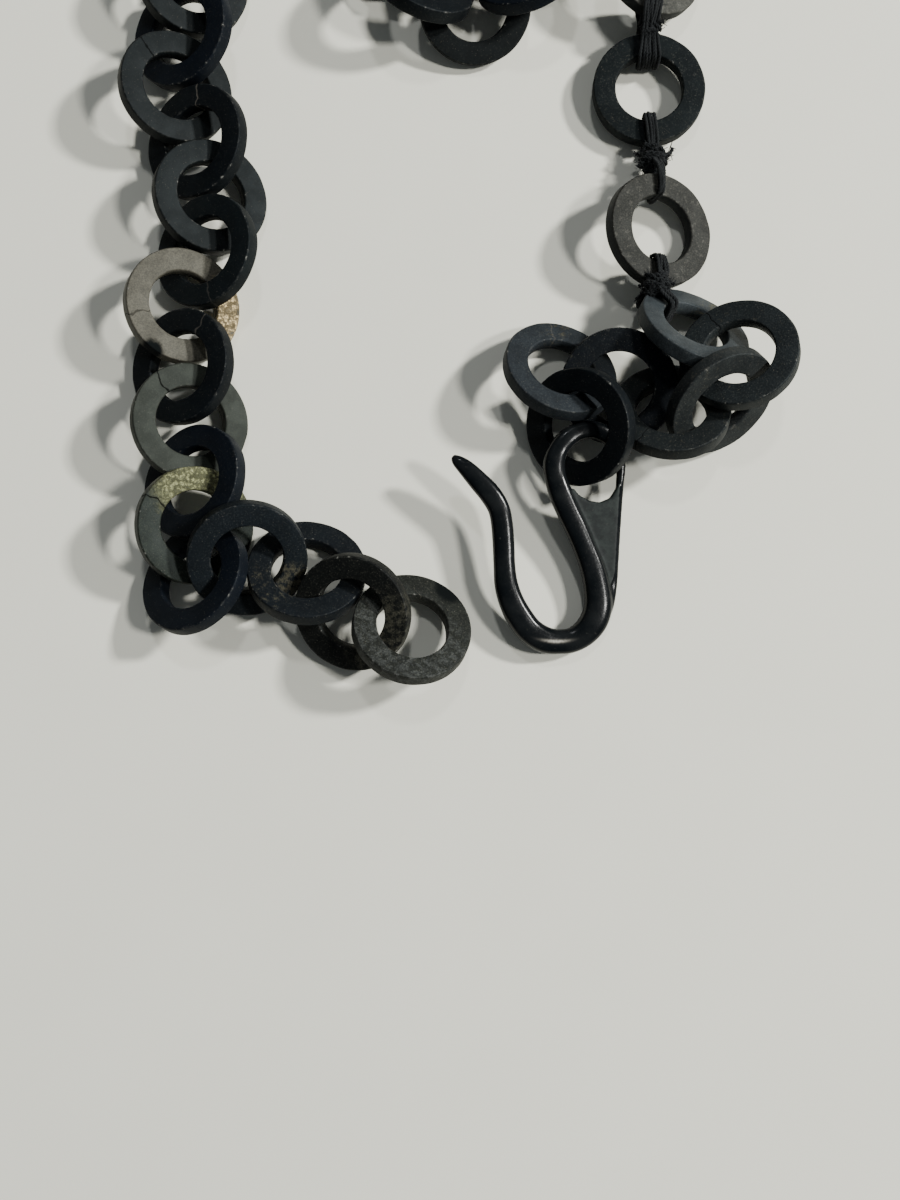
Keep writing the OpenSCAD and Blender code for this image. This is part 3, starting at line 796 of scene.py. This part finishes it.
# Round each tie's band: x, y and z of its middle in the plan in mm, and the compass turn and the drop of its
# width in degrees
TIE_ROWS = {
    "thread_tie_1": [
        (24.4, 76.2, 4.7, 0, 25), (24.9, 75.9, 5.9, 0, 25), (25.0, 74.0, 6.3, 0, 24),
        (24.8, 72.4, 6.1, 0, 20), (24.7, 71.1, 4.9, 0, 8), (24.8, 69.4, 4.2, 0, 2), (24.8, 67.7, 3.9, 0, 0),
        (24.8, 67.3, 2.5, 0, 0), (24.8, 67.7, 1.2, 0, 0), (24.8, 69.6, 1.0, 0, 0), (24.8, 71.2, 1.1, 0, 4),
        (24.7, 72.4, 2.5, 0, 18), (24.5, 74.0, 2.8, 0, 24), (24.6, 75.8, 3.1, 0, 25)],
    "thread_tie_2": [
        (24.8, 60.4, 2.2, 0, 0), (24.8, 60.0, 3.4, 0, 0), (24.9, 58.2, 3.6, 0, 0), (25.0, 56.6, 3.4, 0, 4),
        (25.2, 55.0, 3.3, 0, 12), (25.3, 53.6, 4.3, 0, 18), (25.6, 52.4, 5.2, 0, 22),
        (25.8, 50.6, 5.3, 0, 23), (25.6, 49.6, 5.1, 0, 23), (25.2, 49.4, 3.8, 0, 23),
        (24.8, 49.5, 2.3, 0, 23), (25.0, 50.6, 2.1, 0, 23), (25.1, 52.3, 2.1, 0, 20),
        (25.1, 54.4, 2.1, 0, 10), (25.0, 55.7, 1.2, 0, 4), (24.9, 56.9, 0.5, 0, 0), (24.8, 58.4, 0.5, 0, 0),
        (24.8, 59.8, 0.5, 0, 0), (24.8, 60.4, 1.2, 0, 0)],
    "thread_tie_3": [
        (25.1, 41.5, 3.5, 0, 23), (25.5, 41.2, 4.9, 0, 23), (25.6, 39.4, 5.1, 0, 23),
        (25.5, 37.8, 5.4, 10, 28), (25.5, 36.5, 5.9, 30, 36), (26.7, 35.2, 5.8, 35, 39),
        (26.4, 34.2, 4.7, 35, 39), (25.8, 33.5, 3.5, 35, 39), (24.4, 34.5, 3.3, 35, 39),
        (23.2, 36.0, 2.9, 30, 34), (24.2, 37.6, 2.0, 12, 28), (24.9, 39.4, 1.8, 0, 23),
        (25.0, 41.2, 2.1, 0, 23)],
}
# Each tie's strands across its outer layer, how narrow its near end is, its knot's centre, half size and
# turns, the tips of its loose ends, and the seed of its random draws
TIES = {
    "thread_tie_1": (7, 1.0, (24.8, 71.4, 4.4), (1.25, 1.0, 0.9), 11, [(26.3, 71.3, 5.0)], 3),
    "thread_tie_2": (4, 0.42, (25.1, 54.3, 3.1), (1.65, 1.75, 1.15), 26,
                     [(27.5, 55.8, 3.4), (27.3, 55.3, 3.2), (23.1, 55.3, 2.6), (23.4, 53.7, 2.8)], 5),
    "thread_tie_3": (4, 1.0, (24.9, 37.4, 5.4), (1.60, 1.15, 0.9), 20,
                     [(22.5, 36.1, 4.2), (22.8, 37.7, 4.4), (22.9, 36.6, 5.0), (27.0, 37.6, 5.4)], 8),
}
# A strand's radius in mm, the step to the next strand in radii, half the distance between the two layers in
# mm, and points on a strand from one row to the next
STRAND_R, STRAND_STEP, LAYER, STRAND_POINTS = 0.21, 1.75, 0.17, 6
# How far strands sway and lift, and the turns of a knot stray, in mm
SWAY, LIFT, STRAY = 0.07, 0.05, 0.07
# Share by which a knot draws its band together, how far that reaches, and the stretch of Y, counted from the
# knot, in which a band widens behind its near end, in mm
PINCH, PINCH_REACH, WIDENING = 0.3, 2.0, (-3, 1)
# How much a knot tapers to its ends, and the share of its half length that its turns fill
KNOT_TAPER, KNOT_FILL = 0.55, 0.75
# Points on a knot's turn, its length as a share of a full turn, its tilt and skew in mm, and a loose end's
# bend in mm
TURN_POINTS, TURN_SHARE, TURN_TILT, TURN_SKEW, END_BEND = 24, 0.95, 0.7, 0.36, 0.35
# Fibres on a whole tie and on each turn of its knot, and the longest of both, in mm
TIE_FIBRES, TIE_FIBRE_LENGTH = 220, 0.5
TURN_FIBRES, TURN_FIBRE_LENGTH = 16, 0.75
# How strongly a fibre curls, and how far it leans up
FIBRE_CURL, FIBRE_LEAN = 0.8, (0, 0, 0.5)


def band_strands(rows, count, narrow, knot, rng):
    """Strands side by side in two layers round the two rims, drawn together at the knot."""
    centre = np.array([row[:3] for row in rows])
    way, drop = np.radians([row[3] for row in rows]), np.radians([row[4] for row in rows])
    wide = np.stack([np.cos(way) * np.cos(drop), np.sin(way) * np.cos(drop), -np.sin(drop)], 1)
    along = np.roll(centre, -1, 0) - np.roll(centre, 1, 0)
    out = np.cross(along, wide)
    out /= np.linalg.norm(out, axis=1)[:, None]
    out *= np.sign((out * (centre - centre.mean(0))).sum(1).mean())
    pinch = 1 - PINCH * np.exp(-(np.linalg.norm(centre - np.array(knot), axis=1) / PINCH_REACH) ** 2)
    pinch = pinch * np.interp(centre[:, 1] - knot[1], WIDENING, (narrow, 1))
    paths = []
    for layer, number in ((LAYER, count), (-LAYER, count - 1)):
        for strand in range(number):
            place = (strand - (number - 1) / 2) * STRAND_STEP * STRAND_R
            sway = rng.normal(0, SWAY, len(rows))
            rise = layer + rng.normal(0, LIFT, len(rows))
            line = centre + wide * (place * pinch + sway)[:, None] + out * rise[:, None]
            paths.append(smooth_rows(np.vstack([line, line[:1]]), STRAND_POINTS))
    return paths


def knot_turns(knot, half, turns, rng):
    """Turns of thread round the bundle, each of its own size and tilted its own way."""
    paths = []
    for turn in range(turns):
        place = (turn + 0.5) / turns * 2 - 1
        size = math.sqrt(1 - KNOT_TAPER * place * place) * rng.uniform(0.6, 1.0)
        tilt, skew = rng.normal(0, TURN_TILT), rng.normal(0, TURN_SKEW)
        start = rng.uniform(0, 2 * math.pi)
        steps = start + np.linspace(0, TURN_SHARE * 2 * math.pi, TURN_POINTS)
        ring = np.stack([half[0] * size * np.cos(steps),
                         half[1] * place * KNOT_FILL + tilt * np.cos(steps) + skew * np.sin(steps),
                         half[2] * size * np.sin(steps)], 1)
        paths.append(np.array(knot) + ring + rng.normal(0, STRAY, ring.shape))
    return paths


def loose_end(knot, tip, rng):
    """A short end of thread from the knot to its tip, with a bend."""
    steps = np.linspace(0, 1, 9)[:, None]
    bend = rng.normal(0, END_BEND, 3) * np.sin(math.pi * steps)
    return np.array(knot) + (np.array(tip) - np.array(knot)) * steps + bend


def fuzz(paths, count, longest, rng):
    """Fine fibres that stand off the threads."""
    fibres = []
    for _ in range(count):
        path = paths[rng.integers(len(paths))]
        root = path[rng.integers(len(path))]
        way = rng.normal(0, 1, 3) + FIBRE_LEAN
        way /= np.linalg.norm(way)
        curl = rng.normal(0, FIBRE_CURL, 3)
        steps = np.linspace(0, rng.uniform(0.4, 1.0) * longest, 6)[:, None]
        fibres.append(root + way * steps + curl * steps ** 2)
    return fibres


def thread_mesh(name, paths, inputs):
    """Paths (plan, mm) made into thread by the thread tree."""
    curve = bpy.data.curves.new(name, "CURVE")
    curve.dimensions = "3D"
    for path in paths:
        spline = curve.splines.new("POLY")
        spline.points.add(len(path) - 1)
        points = np.ones((len(path), 4))
        points[:, :3] = (np.array(path) + np.array(PLAN)) * MM
        spline.points.foreach_set("co", points.ravel())
    holder = bpy.data.objects.new(name, curve)
    bpy.context.scene.collection.objects.link(holder)
    add_tree(holder, THREAD_TREE, {"Material": THREAD_MATERIAL, **inputs})
    mesh = evaluated_mesh(holder)
    bpy.data.objects.remove(holder)
    bpy.data.curves.remove(curve)
    return mesh


def make_tie(node):
    """A tie's strands, knot and loose ends as twisted thread, with fine fibres on it."""
    count, narrow, knot, half, turns, tips, seed = TIES[node]
    rng = np.random.default_rng(seed)
    strands = band_strands(TIE_ROWS[node], count, narrow, knot, rng)
    around = knot_turns(knot, half, turns, rng)
    around += [loose_end(knot, tip, rng) for tip in tips]
    fibres = fuzz(strands + around, TIE_FIBRES, TIE_FIBRE_LENGTH, rng)
    fibres += fuzz(around, TURN_FIBRES * turns, TURN_FIBRE_LENGTH, rng)
    as_fibres = {"Plies": 1, "Ply Radius": 0.045 * MM, "Ply Offset": 0.0, "Sides": 4, "Step": 0.12 * MM}
    bm = bmesh.new()
    for mesh in (thread_mesh("threads", strands + around, {}), thread_mesh("fibres", fibres, as_fibres)):
        bm.from_mesh(mesh)
        bpy.data.meshes.remove(mesh)
    piece = mesh_piece("twisted_" + node, [], [])
    bm.to_mesh(piece.data)
    bm.free()
    piece.data.materials.append(THREAD_MATERIAL)
    dress(piece, node)


# Making
make_camera()
make_floor()
make_lights()
RING_PLACE, EDGE_WEAR, GRAIN = make_ring_place(), make_edge_wear(), make_grain()
HAIRLINE, PATCH, STAIN = make_hairline(), make_patch(), make_stain()
RING_MATERIAL, HOOK_MATERIAL = make_ring_material(), make_hook_material()
THREAD_MATERIAL = make_thread_material()
RING_TREE, THREAD_TREE = make_ring_tree(), make_thread_tree()

for number, (node, looks) in enumerate(LOOKS.items()):
    ring_piece(node, looks, number * NODE_SEED_STEP)
make_hook()
for node in TIE_ROWS:
    make_tie(node)
